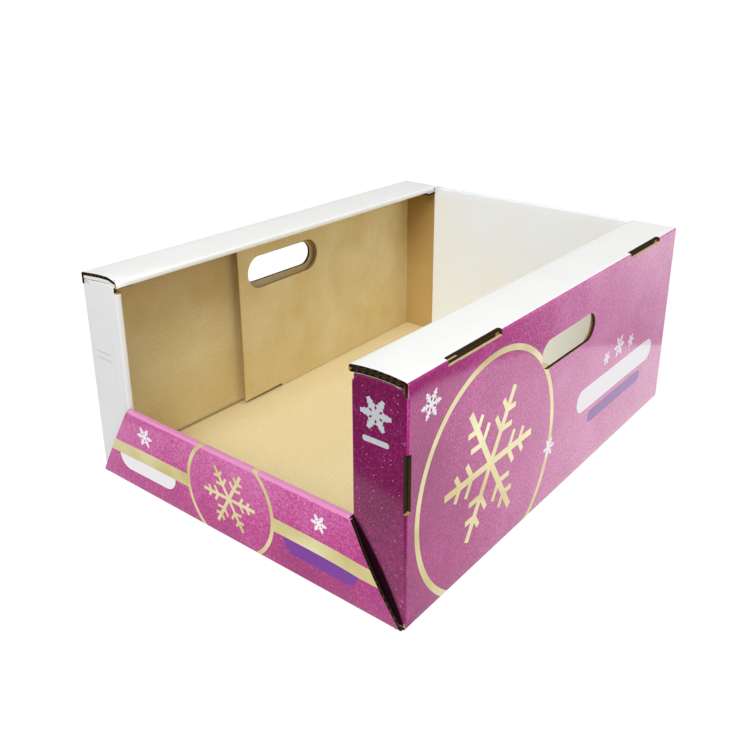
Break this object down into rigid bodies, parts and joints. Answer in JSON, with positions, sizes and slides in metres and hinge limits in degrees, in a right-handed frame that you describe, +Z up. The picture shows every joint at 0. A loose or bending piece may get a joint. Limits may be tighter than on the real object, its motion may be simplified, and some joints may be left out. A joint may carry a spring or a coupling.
{
  "type": "counter display box",
  "caption": "Low open-top display tray folded from printed corrugated board, with hemmed ledges along both sides, front return panels, a tapered front lip and hand holes in the side walls",
  "frame": {"origin": "middle of the whole outline, on the surface that the tray stands on", "axes": "+Z up, +Y towards the high back wall, the low front lip at -Y, +X to the right seen from the front"},
  "size_m": [0.4, 0.5314, 0.221],
  "materials": {
    "printed_board": "satin"
  },
  "bodies": {
    "root": {"display_tray": "printed_board"}
  },
  "joints": []
}
